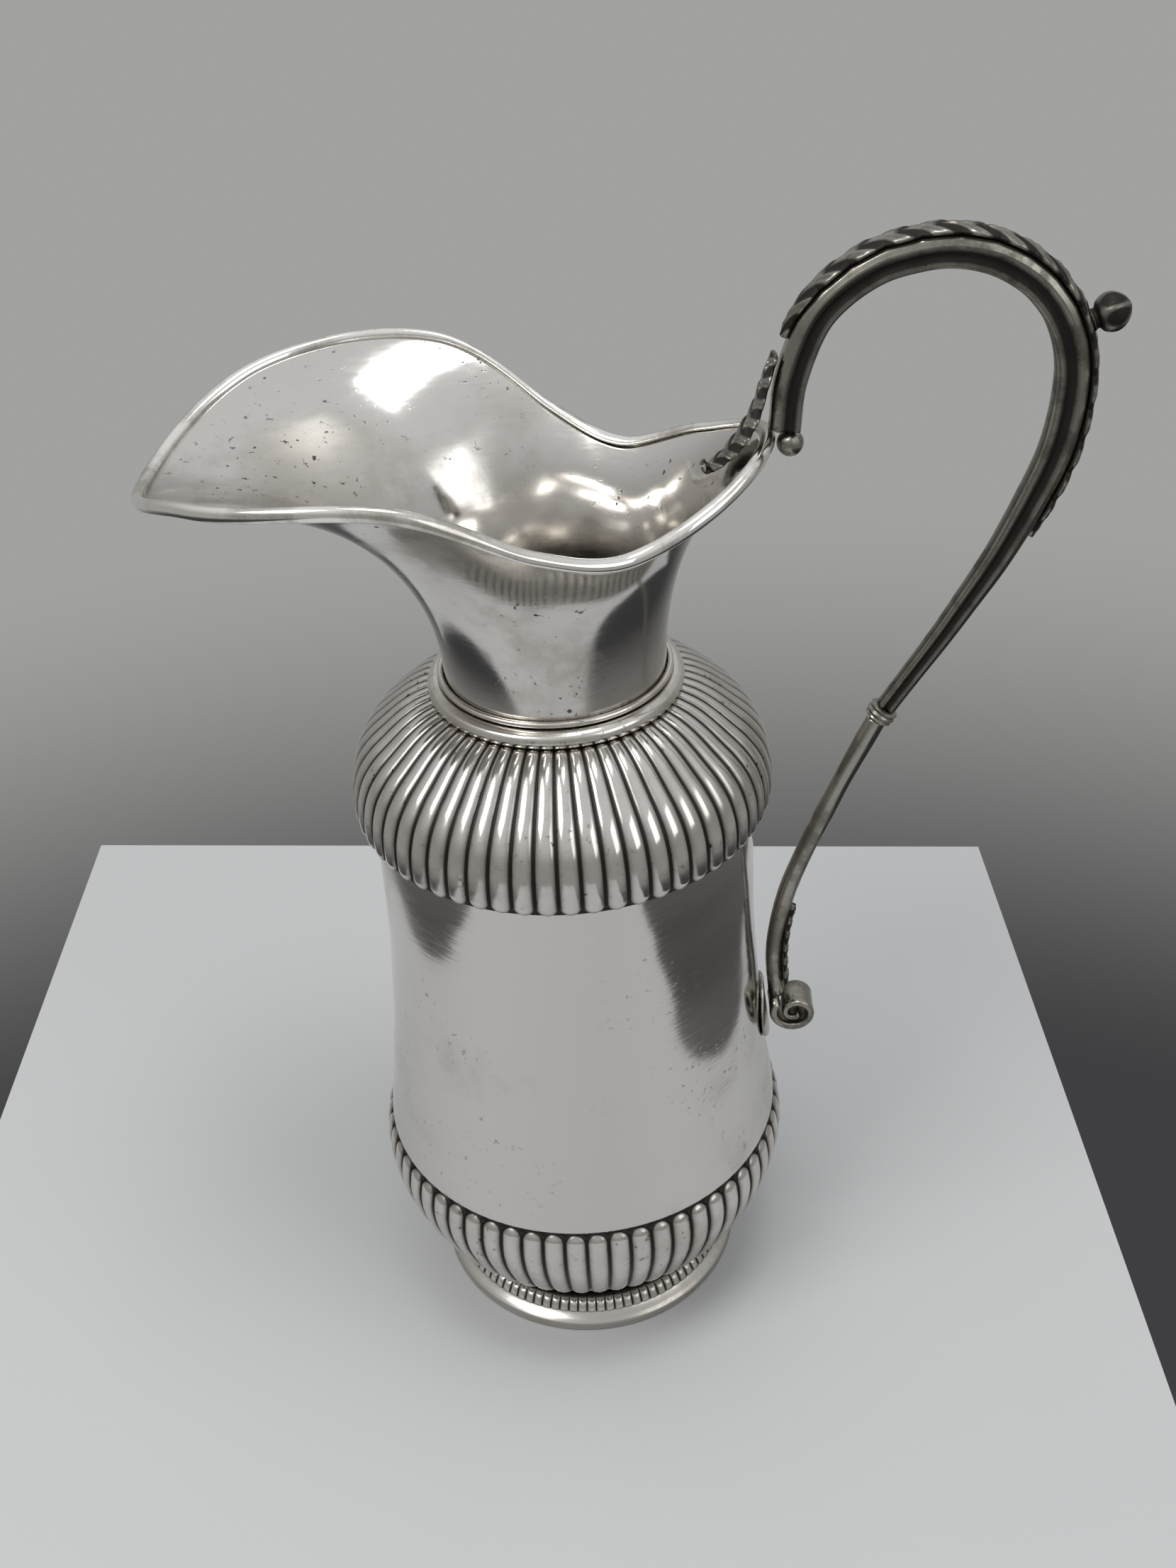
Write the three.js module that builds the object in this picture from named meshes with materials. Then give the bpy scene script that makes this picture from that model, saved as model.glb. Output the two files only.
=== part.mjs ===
// A silver jug: a raised body on a foot, lobed below and at the shoulder, with a spreading spout
// and a tall cast handle that springs from the rim and comes down to the wall on a scroll.
// Millimetres, +Z up. The handle points along +X and the spout along -X.
import * as THREE from "three";

// Driving dimensions
const SHEET = 1.4; // wall of the raised silver
const GAP = 0.3; // clearance between curved neighbours

const FOOT_RADIUS = 43.6;
const FOOT_RIM_WIDTH = 3.2; // flat ring that the jug stands on
const FOOT_LIP = 2.4; // upright edge of the foot
const FOOT_HEIGHT = 5.2;
const COLLET_RADIUS = 36.9; // waisted ring between foot and body
const COLLET_TOP = 16.7;
const REED_HEIGHT = 3.2;
const REED_STAND = 3.3; // how far the reeds stand out from the waisted ring
const REED_RADIUS = COLLET_RADIUS + REED_STAND;
const REED_DEPTH = 0.7;
const REED_COUNT = 48;
const FILLET_STAND = 2.9; // how far the wire round the collet stands out
const FILLET_RADIUS = COLLET_RADIUS + FILLET_STAND;
const FILLET_Z = 13.6;

const LOBE_COUNT = 60;
const LOBE_DEPTH = 1.1;
const LOBE_COLUMNS = 2; // columns of faces on one lobe
const ROUND_COLUMNS = 48; // columns of faces on a plain turned piece

const BASE_Z = 17;
const BASE_RADIUS = 38;
const LOWER_BODY = [[41, BASE_Z], [49.5, 25], [54.6, 36], [57, 47], [56.4, 53], [55, 55.9]];
const WALL_BOTTOM_Z = 56.2;
const WALL = [[54.9, WALL_BOTTOM_Z], [52.6, 73], [50, 98], [48.2, 127], [47.8, 163.4]];
const SHOULDER = [[51.8, 161.4], [52.2, 168], [50.2, 176], [44, 184], [36, 190.8], [31, 192.8]];

const NECK_RADIUS = 26; // middle of the sheet
const NECK_BOTTOM_Z = 191.6;
const COLLAR_STAND = 4.8; // how far the collar stands out from the neck
const COLLAR_RADIUS = NECK_RADIUS + COLLAR_STAND;
const COLLAR_HEIGHT = 4.3;
const NECK_FILLET_STAND = 2.3; // how far the wire above the collar stands out
const NECK_FILLET_RADIUS = NECK_RADIUS + NECK_FILLET_STAND;
const NECK_FILLET_HEIGHT = 1.6;
const NECK_RISE = 26; // how far up the neck stays near its own radius
const RIM_WIRE = 1.7; // radius of the wire round the lip
// Round the lip from the spout to the handle, one entry every 30 degrees
const RIM_RADIUS = [89, 79, 56, 39.5, 35.5, 42.5, 49.5];
const RIM_HEIGHT = [248, 259, 261, 246, 240, 247, 254];
const FLARE_ANGLE = [2, 12, 36, 56, 60, 46, 32]; // slope of the lip above level, degrees
const FLARE_LENGTH = [46, 37, 20, 11, 9, 12, 15]; // straight pull of the lip
const NECK_ROWS = 7;

const HANDLE_DEPTH = 7; // in the plane of the loop
const HANDLE_WIDTH = 8.6; // across it
const HANDLE_LOW_SHARE = 0.62; // how much of that is left at the joint with the bar
const LEAF_THICKNESS = 1.5;
const BAR_RADIUS = 2.5;
const SLEEVE_RADIUS = 3.7;
const SLEEVE_LENGTH = 3.4;
const SOCKET_RADIUS = 3;
const KNOP_RADIUS = 4.4;
const KNOP_STAND = 4.2; // from the back of the handle to the middle of the knop
const SCROLL_RADIUS = 7.2;
const SCROLL_WIDTH = 10;
const SCROLL_STRIP = 2.2;
const SCROLL_Z = 86;
const SCROLL_TURN = 1.45; // turns
const TONGUE_THICKNESS = 1.1;
const TONGUE_WIDTH = 20;
const TONGUE_HEIGHT = 17;

const SILVER = 0xa9a59c;
const DARK_SILVER = 0x5b5650;

const jug = new THREE.Group();

function add(name, geometry, colour = SILVER, roughness = 0.3) {
  const material = new THREE.MeshStandardMaterial({ color: colour, roughness, metalness: 0.9 });
  const mesh = new THREE.Mesh(geometry, material);
  mesh.name = name;
  jug.add(mesh);
  return mesh;
}

// Turned shapes

const corner = ([radius, z]) => new THREE.Vector2(radius, z);

// A profile of [radius, z] corners, outer side first and upwards, turned round the jug's axis.
// move(radius, z, angle, row) may shift each point; angle 0 is the spout.
function turned(profile, columns, move) {
  const points = profile.map(corner);
  const closed = profile[0][0] > 0 ? [...points, points[0].clone()] : points;
  const geometry = new THREE.LatheGeometry(closed, columns);
  const place = geometry.attributes.position;
  for (let i = 0; i <= columns; i++) {
    const angle = (2 * Math.PI * i) / columns;
    for (let j = 0; j < closed.length; j++) {
      const row = j % profile.length;
      const point = profile[0][0] > 0 ? profile[row] : profile[j];
      const [radius, z] = move ? move(point[0], point[1], angle, row) : point;
      place.setXYZ(i * closed.length + j, -radius * Math.cos(angle), -radius * Math.sin(angle), z);
    }
  }
  return geometry;
}

// The inner side of a sheet whose outer side is given, from its top down.
function innerSide(outer, thickness) {
  return outer
    .map((point, k) => {
      const before = outer[Math.max(k - 1, 0)];
      const after = outer[Math.min(k + 1, outer.length - 1)];
      const along = new THREE.Vector2(after[0] - before[0], after[1] - before[1]).normalize();
      return [point[0] - along.y * thickness, point[1] + along.x * thickness];
    })
    .reverse();
}

// A half-round moulding on a band of radius inner, between two heights.
function moulding(inner, outer, low, high, steps = 4) {
  const profile = [];
  for (let k = 0; k <= steps; k++) {
    const turn = (Math.PI * k) / steps - Math.PI / 2;
    const radius = inner + (outer - inner) * (0.35 + 0.65 * Math.cos(turn));
    profile.push([radius, (low + high) / 2 + ((high - low) / 2) * Math.sin(turn)]);
  }
  return [...profile, [inner, high], [inner, low]];
}

// How far a lobe's surface lies inside its crest, for a count of lobes round the jug.
const lobe = (count, angle) => 1 - Math.abs(Math.sin((count * angle) / 2)) ** 0.6;

// Foot
const footInner = FOOT_RADIUS - FOOT_RIM_WIDTH;
const colletInner = COLLET_RADIUS - 2 * SHEET;
add("foot_ring", turned([
  [FOOT_RADIUS, 0],
  [FOOT_RADIUS, FOOT_LIP],
  [FOOT_RADIUS - 0.7, FOOT_LIP + 1.5],
  [FOOT_RADIUS - 2, FOOT_HEIGHT],
  [colletInner, FOOT_HEIGHT],
  [colletInner, FOOT_HEIGHT - SHEET],
  [footInner - 1, FOOT_HEIGHT - SHEET],
  [footInner, FOOT_LIP],
  [footInner, 0],
], ROUND_COLUMNS));
add("foot_collet", turned([
  [COLLET_RADIUS, FOOT_HEIGHT],
  [COLLET_RADIUS, COLLET_TOP],
  [colletInner, COLLET_TOP],
  [colletInner, FOOT_HEIGHT],
], ROUND_COLUMNS));
const bandInner = COLLET_RADIUS + GAP;
add("foot_reed_band", turned(
  [
    [REED_RADIUS, FOOT_HEIGHT],
    [REED_RADIUS, FOOT_HEIGHT + 0.6 * REED_HEIGHT],
    [(REED_RADIUS + bandInner) / 2, FOOT_HEIGHT + REED_HEIGHT],
    [bandInner, FOOT_HEIGHT + REED_HEIGHT],
    [bandInner, FOOT_HEIGHT],
  ],
  REED_COUNT * LOBE_COLUMNS,
  (radius, z, angle, row) => [row < 2 ? radius - REED_DEPTH * lobe(REED_COUNT, angle) : radius, z],
));
add("foot_fillet", turned(moulding(bandInner, FILLET_RADIUS, FILLET_Z - 1.3, FILLET_Z + 1.3), ROUND_COLUMNS));

// Body: lobed bowl, base disc, plain wall and lobed shoulder
const lowerInner = innerSide(LOWER_BODY, SHEET + LOBE_DEPTH).slice(2, -1);
const lowerTop = LOWER_BODY[LOWER_BODY.length - 1];
add("lower_body", turned(
  [
    ...LOWER_BODY,
    [lowerTop[0] - SHEET - LOBE_DEPTH, lowerTop[1]],
    ...lowerInner,
    [BASE_RADIUS + GAP, BASE_Z + SHEET],
    [colletInner, BASE_Z + SHEET],
    [colletInner, BASE_Z],
  ],
  LOBE_COUNT * LOBE_COLUMNS,
  (radius, z, angle, row) => {
    const chased = row > 0 && row < LOWER_BODY.length - 1;
    return [chased ? radius - LOBE_DEPTH * lobe(LOBE_COUNT, angle) : radius, z];
  },
));
const baseBottom = BASE_Z + SHEET;
add("base_disc", turned([
  [0, baseBottom],
  [BASE_RADIUS, baseBottom],
  [BASE_RADIUS, baseBottom + SHEET],
  [0, baseBottom + SHEET],
], ROUND_COLUMNS));
add("body_wall", turned([...WALL, ...innerSide(WALL, SHEET)], ROUND_COLUMNS));

const wallTop = WALL[WALL.length - 1];
const shoulderSeat = wallTop[0] + GAP; // the shoulder slips over the top of the wall
const neckOuter = NECK_RADIUS + SHEET / 2;
const neckHole = neckOuter + GAP;
const shoulderTop = SHOULDER[SHOULDER.length - 1];
add("shoulder", turned(
  [
    ...SHOULDER,
    [neckHole, shoulderTop[1]],
    [neckHole, shoulderTop[1] - SHEET],
    ...innerSide(SHOULDER, SHEET + LOBE_DEPTH).slice(2, -2),
    [shoulderSeat, wallTop[1] + GAP],
    [shoulderSeat, SHOULDER[0][1]],
  ],
  LOBE_COUNT * LOBE_COLUMNS,
  (radius, z, angle, row) => {
    const chased = row > 0 && row < SHOULDER.length - 1;
    return [chased ? radius - LOBE_DEPTH * lobe(LOBE_COUNT, angle) : radius, z];
  },
));

// Neck, collar and lip
const collarLow = shoulderTop[1];
const collarHigh = collarLow + COLLAR_HEIGHT;
const filletHigh = collarHigh + NECK_FILLET_HEIGHT;
add("neck_collar", turned(moulding(neckHole, COLLAR_RADIUS, collarLow, collarHigh), ROUND_COLUMNS));
add("neck_fillet", turned(
  moulding(neckHole, NECK_FILLET_RADIUS, collarHigh, filletHigh),
  ROUND_COLUMNS,
));

// Values given every 30 degrees from the spout to the handle, the same on both sides.
function roundTheLip(values) {
  const both = [...values, ...values.slice(1, -1).reverse()];
  const curve = new THREE.CatmullRomCurve3(
    both.map((value) => new THREE.Vector3(value, 0, 0)),
    true,
    "catmullrom",
    0.5,
  );
  return (angle) => curve.getPoint((angle / (2 * Math.PI)) % 1).x;
}
const rimRadius = roundTheLip(RIM_RADIUS);
const rimHeight = roundTheLip(RIM_HEIGHT);
const flareAngle = roundTheLip(FLARE_ANGLE);
const flareLength = roundTheLip(FLARE_LENGTH);

// The middle of the neck's sheet in one upright plane, from its mouldings to the lip.
function neckCurve(angle) {
  const slope = THREE.MathUtils.degToRad(flareAngle(angle));
  const out = new THREE.Vector2(Math.cos(slope), Math.sin(slope));
  const lip = new THREE.Vector2(rimRadius(angle), rimHeight(angle));
  const end = lip.clone().addScaledVector(out, -(RIM_WIRE + GAP));
  const start = new THREE.Vector2(NECK_RADIUS, filletHigh);
  const pull = end.clone().addScaledVector(out, -flareLength(angle));
  const rise = new THREE.Vector2(NECK_RADIUS, filletHigh + NECK_RISE);
  return new THREE.CubicBezierCurve(start, rise, pull, end);
}

// The point of the neck's sheet at a row, on its outer (+1) or inner (-1) side.
function neckPoint(angle, row, side) {
  if (row < 0) return [NECK_RADIUS + (side * SHEET) / 2, NECK_BOTTOM_Z];
  const curve = neckCurve(angle);
  const share = row / NECK_ROWS;
  const along = curve.getTangent(share);
  const middle = curve.getPoint(share);
  return [middle.x + (side * along.y * SHEET) / 2, middle.y - (side * along.x * SHEET) / 2];
}
const neckRows = [];
for (let row = -1; row <= NECK_ROWS; row++) neckRows.push([row, 1]);
for (let row = NECK_ROWS; row >= -1; row--) neckRows.push([row, -1]);
add("neck_and_spout", turned(
  neckRows.map(() => [1, 0]),
  ROUND_COLUMNS,
  (radius, z, angle, row) => neckPoint(angle, ...neckRows[row]),
));

const WIRE_SIDES = 6;
const wireSection = [];
for (let k = 0; k < WIRE_SIDES; k++) {
  const turn = (2 * Math.PI * k) / WIRE_SIDES;
  wireSection.push([RIM_WIRE * Math.cos(turn), RIM_WIRE * Math.sin(turn)]);
}
add("rim_wire", turned(
  wireSection.map(([out, up]) => [out + 2 * RIM_WIRE, up]),
  ROUND_COLUMNS,
  (radius, z, angle, row) => [
    rimRadius(angle) + wireSection[row][0],
    rimHeight(angle) + wireSection[row][1],
  ],
));

// Handle: pieces swept along curves in the upright plane y = 0

// A closed body along a curve. section(share, turn) gives how far the skin lies from the curve,
// [across, towards the inside of the loop], at a share of its length.
function swept(curve, steps, sides, section) {
  const profile = [new THREE.Vector2(0, 0)];
  for (let j = 0; j <= steps; j++) profile.push(new THREE.Vector2(1, j + 1));
  profile.push(new THREE.Vector2(0, steps + 2));
  const geometry = new THREE.LatheGeometry(profile, sides);
  const place = geometry.attributes.position;
  const spot = new THREE.Vector3();
  const sideways = new THREE.Vector3(0, 1, 0);
  for (let j = 0; j < profile.length; j++) {
    const share = Math.min(Math.max(j - 1, 0), steps) / steps;
    const middle = curve.getPointAt(share);
    const inwards = new THREE.Vector3().crossVectors(sideways, curve.getTangentAt(share));
    for (let i = 0; i <= sides; i++) {
      spot.copy(middle);
      if (profile[j].x > 0) {
        const [across, inward] = section(share, (2 * Math.PI * i) / sides);
        spot.addScaledVector(sideways, across).addScaledVector(inwards, inward);
      }
      place.setXYZ(i * profile.length + j, spot.x, spot.y, spot.z);
    }
  }
  return geometry;
}

const inPlane = (points) =>
  new THREE.CatmullRomCurve3(points.map(([x, z]) => new THREE.Vector3(x, 0, z)), false, "centripetal");

// An oval section, half sizes across and in the plane of the loop.
const oval = (across, deep) => (share, turn) => [across * Math.sin(turn), deep * Math.cos(turn)];

const lip = [rimRadius(Math.PI), rimHeight(Math.PI)];
const rootX = lip[0] + HANDLE_DEPTH / 2 + 0.2;
const rootZ = lip[1] + RIM_WIRE + GAP;
const handleCurve = inPlane([
  [rootX, rootZ], [54.2, 266.5], [58.2, 278.4], [63.6, 285.2], [71.4, 290.4], [79.6, 292.7],
  [86.4, 293.2], [93.3, 292], [99.2, 289.4], [104.8, 285.2], [110, 278.4], [113.2, 269.8],
  [113.8, 260], [112.2, 248.2], [108.3, 236.8], [102.4, 223], [96, 211], [91, 202], [85, 192], [79.6, 183],
]);

// The casting narrows towards the joint; its flanks are channelled.
const taper = (share) => 1 - (1 - HANDLE_LOW_SHARE) * THREE.MathUtils.smoothstep(share, 0.55, 1);
const CHANNEL = 0.26;
function castSection(share, turn) {
  const size = taper(share);
  const waist = 1 - CHANNEL * Math.sin(turn) ** 6;
  const square = 1 / Math.max(Math.abs(Math.sin(turn)), Math.abs(Math.cos(turn)), 0.8);
  return [
    (HANDLE_WIDTH / 2) * size * waist * square * 0.9 * Math.sin(turn),
    (HANDLE_DEPTH / 2) * size * square * 0.9 * Math.cos(turn),
  ];
}
add("handle_casting", swept(handleCurve, 36, 12, castSection), DARK_SILVER, 0.45);

// The leaf along the back of the casting, standing on it with lobed edges.
const LEAF_LOBES = 15;
const LEAF_FROM = 0.1;
const LEAF_TO = 0.72;
const leafLift = (share) => (HANDLE_DEPTH / 2) * 0.9 * 1.12 * taper(share) + GAP;
const leafPoints = [];
for (let k = 0; k <= 24; k++) {
  const share = LEAF_FROM + ((LEAF_TO - LEAF_FROM) * k) / 24;
  const middle = handleCurve.getPointAt(share);
  const along = handleCurve.getTangentAt(share);
  const lift = leafLift(share) + LEAF_THICKNESS / 2;
  leafPoints.push([middle.x - along.z * lift, middle.z + along.x * lift]);
}
add("handle_leaf", swept(inPlane(leafPoints), 45, 6, (share, turn) => {
  const edge = 0.78 + 0.22 * Math.abs(Math.sin(LEAF_LOBES * Math.PI * share));
  const end = Math.min(1, 12 * share + 0.3, 12 * (1 - share) + 0.3);
  return [
    (HANDLE_WIDTH / 2) * 0.8 * edge * end * Math.sin(turn),
    (LEAF_THICKNESS / 2) * Math.cos(turn),
  ];
}), DARK_SILVER, 0.5);

// Leaf that laps over the lip, inside the mouth
const rimLeafCurve = inPlane([
  [lip[0] - 13, lip[1] - 7.2], [lip[0] - 8, lip[1] - 3.2], [lip[0] - 4.6, lip[1] + 1.4],
  [lip[0] - 2.4, lip[1] + 6], [lip[0] - 1.2, lip[1] + 11], [lip[0] + 0.4, lip[1] + 17],
]);
add("rim_leaf", swept(rimLeafCurve, 14, 8, (share, turn) => {
  const breadth = 1.2 + 4.6 * Math.sin(Math.PI * Math.min(0.15 + share * 0.7, 1));
  return [breadth * Math.sin(turn), (LEAF_THICKNESS / 2) * Math.cos(turn)];
}), DARK_SILVER, 0.45);

// Boss under the root of the handle, outside the lip
const boss = new THREE.SphereGeometry(SOCKET_RADIUS, 16, 10);
boss.translate(lip[0] + RIM_WIRE + GAP + SOCKET_RADIUS, 0, lip[1] - 1.8);
add("handle_socket", boss, DARK_SILVER, 0.4);

// Knop for the thumb, a bud on a short stem
const KNOP_AT = 0.47;
const knopFoot = handleCurve.getPointAt(KNOP_AT);
const knopOut = handleCurve.getTangentAt(KNOP_AT).cross(new THREE.Vector3(0, 1, 0));
const knopProfile = [
  [0, 0],
  [2.5, 0],
  [2.3, 0.9],
  [3.5, 1.9],
  [KNOP_RADIUS, KNOP_STAND - 0.3],
  [0.9 * KNOP_RADIUS, KNOP_STAND + 1.6],
  [0.5 * KNOP_RADIUS, KNOP_STAND + 3.3],
  [0, KNOP_STAND + 4],
];
const knopStart = leafLift(KNOP_AT) + LEAF_THICKNESS + GAP;
const knop = new THREE.LatheGeometry(knopProfile.map(corner), 16);
knop.applyQuaternion(new THREE.Quaternion().setFromUnitVectors(new THREE.Vector3(0, 1, 0), knopOut));
knop.translate(
  knopFoot.x + knopOut.x * knopStart,
  0,
  knopFoot.z + knopOut.z * knopStart,
);
add("thumb_knop", knop, DARK_SILVER, 0.35);

// Lower bar, from the sleeve down to the scroll
const castEnd = handleCurve.getPointAt(1);
const castDown = handleCurve.getTangentAt(1);
const sleeveCurve = new THREE.LineCurve3(
  castEnd.clone().addScaledVector(castDown, GAP),
  castEnd.clone().addScaledVector(castDown, GAP + SLEEVE_LENGTH),
);
add("joint_sleeve", swept(sleeveCurve, 2, 16, oval(SLEEVE_RADIUS, SLEEVE_RADIUS)), DARK_SILVER, 0.35);
const barStart = castEnd.clone().addScaledVector(castDown, 2 * GAP + SLEEVE_LENGTH);

// Radius of the wall's outer face at a height.
function wallRadius(z) {
  const k = WALL.findIndex((point, i) => i > 0 && point[1] >= z);
  const [[r0, z0], [r1, z1]] = [WALL[k - 1], WALL[k]];
  return r0 + ((r1 - r0) * (z - z0)) / (z1 - z0);
}
const scrollX = wallRadius(SCROLL_Z) + 2 * GAP + TONGUE_THICKNESS + SCROLL_RADIUS;
const SCROLL_START = Math.PI * 0.82;
const scrollTop = [
  scrollX + (SCROLL_RADIUS - SCROLL_STRIP / 2) * Math.cos(SCROLL_START),
  SCROLL_Z + (SCROLL_RADIUS - SCROLL_STRIP / 2) * Math.sin(SCROLL_START),
];
const barEndZ = scrollTop[1] + SCROLL_STRIP;
const barCurve = inPlane([
  [barStart.x, barStart.z], [70.4, 163], [65.4, 150], [60.9, 138], [57.3, 126.5], [55, 115],
  [54.2, 104], [scrollTop[0] + 0.2, barEndZ],
]);
add("handle_bar", swept(barCurve, 24, 12, oval(BAR_RADIUS, BAR_RADIUS)));

// Leaf on the outside of the bar's foot
const barLeafPoints = [0.7, 0.76, 0.82, 0.88, 0.93].map((share) => {
  const middle = barCurve.getPointAt(share);
  const along = barCurve.getTangentAt(share);
  const lift = BAR_RADIUS + GAP + LEAF_THICKNESS / 2;
  return [middle.x - along.z * lift, middle.z + along.x * lift];
});
add("bar_leaf", swept(inPlane(barLeafPoints), 14, 8, (share, turn) => {
  const edge = 0.75 + 0.25 * Math.abs(Math.sin(5 * Math.PI * share));
  return [(0.8 + 3 * share) * edge * Math.sin(turn), (LEAF_THICKNESS / 2) * Math.cos(turn)];
}), DARK_SILVER, 0.45);

// Scroll: a strip wound inwards on itself, ending in a round eye
class Volute extends THREE.Curve {
  getPoint(share, target = new THREE.Vector3()) {
    const turn = SCROLL_START + share * SCROLL_TURN * 2 * Math.PI;
    const radius = (SCROLL_RADIUS - SCROLL_STRIP / 2) * (1 - share) + 1.5 * share;
    return target.set(scrollX + radius * Math.cos(turn), 0, SCROLL_Z + radius * Math.sin(turn));
  }
}
const square = (across, deep) => (share, turn) => {
  const reach = 1 / Math.max(Math.abs(Math.sin(turn)), Math.abs(Math.cos(turn)));
  return [across * reach * Math.sin(turn), deep * reach * Math.cos(turn)];
};
add("scroll", swept(new Volute(), 36, 8, (share, turn) => {
  const thin = 1 - 0.35 * share;
  return square((SCROLL_WIDTH / 2) * (1 - 0.1 * share), (SCROLL_STRIP / 2) * thin)(share, turn);
}), DARK_SILVER, 0.4);

// Tongue that is soldered to the wall and carries the scroll
const tonguePoints = [];
for (let k = 0; k <= 8; k++) {
  const z = SCROLL_Z - TONGUE_HEIGHT / 2 + (TONGUE_HEIGHT * k) / 8;
  tonguePoints.push([wallRadius(z) + GAP + TONGUE_THICKNESS / 2, z]);
}
add("wall_tongue", swept(inPlane(tonguePoints), 12, 8, (share, turn) => {
  const breadth = (TONGUE_WIDTH / 2) * Math.sqrt(Math.sin(Math.PI * (0.03 + 0.94 * share)));
  const across = breadth * Math.sin(turn);
  // its back follows the round wall
  const sag = (across * across) / (2 * wallRadius(SCROLL_Z));
  return [across, (TONGUE_THICKNESS / 2) * Math.cos(turn) - sag];
}), SILVER, 0.35);

// The part's origin lies under the middle of its whole length.
const extent = new THREE.Box3().setFromObject(jug);
jug.position.x = -(extent.min.x + extent.max.x) / 2;

export default jug;
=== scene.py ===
import bpy
import numpy as np
from mathutils import Matrix, Vector


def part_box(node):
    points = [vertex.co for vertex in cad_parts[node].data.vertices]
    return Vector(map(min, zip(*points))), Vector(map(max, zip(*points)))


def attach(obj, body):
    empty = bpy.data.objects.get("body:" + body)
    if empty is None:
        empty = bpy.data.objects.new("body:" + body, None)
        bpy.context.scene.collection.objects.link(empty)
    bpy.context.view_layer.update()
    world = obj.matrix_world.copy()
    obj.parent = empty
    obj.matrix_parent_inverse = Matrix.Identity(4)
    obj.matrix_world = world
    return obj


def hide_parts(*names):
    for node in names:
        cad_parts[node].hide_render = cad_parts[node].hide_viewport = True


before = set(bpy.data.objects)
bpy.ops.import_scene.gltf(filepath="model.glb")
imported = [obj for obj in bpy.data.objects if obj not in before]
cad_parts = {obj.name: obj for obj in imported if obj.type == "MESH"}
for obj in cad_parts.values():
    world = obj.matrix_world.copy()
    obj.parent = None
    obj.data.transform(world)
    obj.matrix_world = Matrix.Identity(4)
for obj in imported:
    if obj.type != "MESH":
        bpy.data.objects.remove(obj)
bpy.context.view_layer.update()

# The foot: a spreading ring, turned from thick sheet, hollow below and standing on a flat rim.
# Silver, soldered to the collet above it. Everything round is measured from the foot's own axis.
foot_low, foot_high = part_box("foot_ring")
AXIS_X = 500 * (foot_low.x + foot_high.x)  # the jug's axis, in millimetres
MM = 0.001
GAP = 0.3
ROUND = 288  # columns of a plain turned piece


def skin(name, grid, marks=None):
    """A closed mesh from an array of points in millimetres from the jug's axis: rows of points, each
    row closed on itself, and the last row joined to the first. marks are numbers kept per point."""
    rows, columns = grid.shape[:2]
    place = (grid.reshape(-1, 3) + (AXIS_X, 0, 0)) * MM
    row, column = np.meshgrid(np.arange(rows), np.arange(columns), indexing="ij")
    start, after = row * columns, (row + 1) % rows * columns
    beside = (column + 1) % columns
    faces = np.stack([start + column, start + beside, after + beside, after + column], axis=-1)
    return mesh_piece(name, place, faces.reshape(-1, 4), marks)


def mesh_piece(name, place, faces, marks=None):
    """An object from points in metres and faces, smooth shaded, riding on the body."""
    mesh = bpy.data.meshes.new(name)
    mesh.from_pydata(place, [], faces)
    mesh.shade_smooth()
    for mark, numbers in (marks or {}).items():
        layer = mesh.attributes.new(mark, "FLOAT", "POINT")
        layer.data.foreach_set("value", np.asarray(numbers, np.float32).ravel())
    piece = bpy.data.objects.new(name, mesh)
    bpy.context.scene.collection.objects.link(piece)
    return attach(piece, "root")


def catmull_rom(before, start, stop, beyond, t):
    """The cubic from start to stop whose slope at each is half the step between its neighbours."""
    slope_start, slope_stop = (stop - before) / 2, (beyond - start) / 2
    return (
        (2 * t**3 - 3 * t**2 + 1) * start + (t**3 - 2 * t**2 + t) * slope_start
        + (3 * t**2 - 2 * t**3) * stop + (t**3 - t**2) * slope_stop
    )


def smooth(points, count):
    """A curve through the points, cut at count equal shares of their number: each span is a
    Catmull-Rom cubic, and the curve runs straight on at its ends."""
    points = np.asarray(points, float)
    ends = np.concatenate([[2 * points[0] - points[1]], points, [2 * points[-1] - points[-2]]])
    place = np.linspace(0, len(points) - 1, count)
    span = np.minimum(place.astype(int), len(points) - 2)
    return catmull_rom(*(ends[span + k] for k in range(4)), (place - span)[:, None])


def arc(centre, radius, start, stop, count=12):
    """Points [radius, height] of a round stretch about a centre, angles in degrees."""
    turn = np.radians(np.linspace(start, stop, count))
    return np.stack([centre[0] + radius * np.cos(turn), centre[1] + radius * np.sin(turn)], axis=1)


def turned(name, profile):
    """A closed profile of [radius, height] carried round the axis: x = r cos a, y = r sin a."""
    profile = np.concatenate([np.asarray(part, float) for part in profile])
    turn = np.linspace(0, 2 * np.pi, ROUND, endpoint=False)
    radius, height = profile[:, :1], profile[:, 1:]
    grid = np.stack([radius * np.cos(turn), radius * np.sin(turn), height + 0 * turn], axis=-1)
    return skin(name, grid)


FOOT_RADIUS = 43.6
foot_ring = turned("foot_ring_turned", [
    [(40.4, 0.0), (43.3, 0.0)],
    arc((42.9, 0.7), 0.7, -90, 0, 5),
    [(FOOT_RADIUS, 1.9)],
    arc((42.4, 2.0), 1.2, 0, 60, 6),
    smooth([(42.6, 3.4), (41.2, 4.3), (40.2, 5.15)], 12),
    [(34.2, 5.15), (34.2, 3.8), (39.4, 3.8), (40.4, 2.4)],
])


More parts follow.
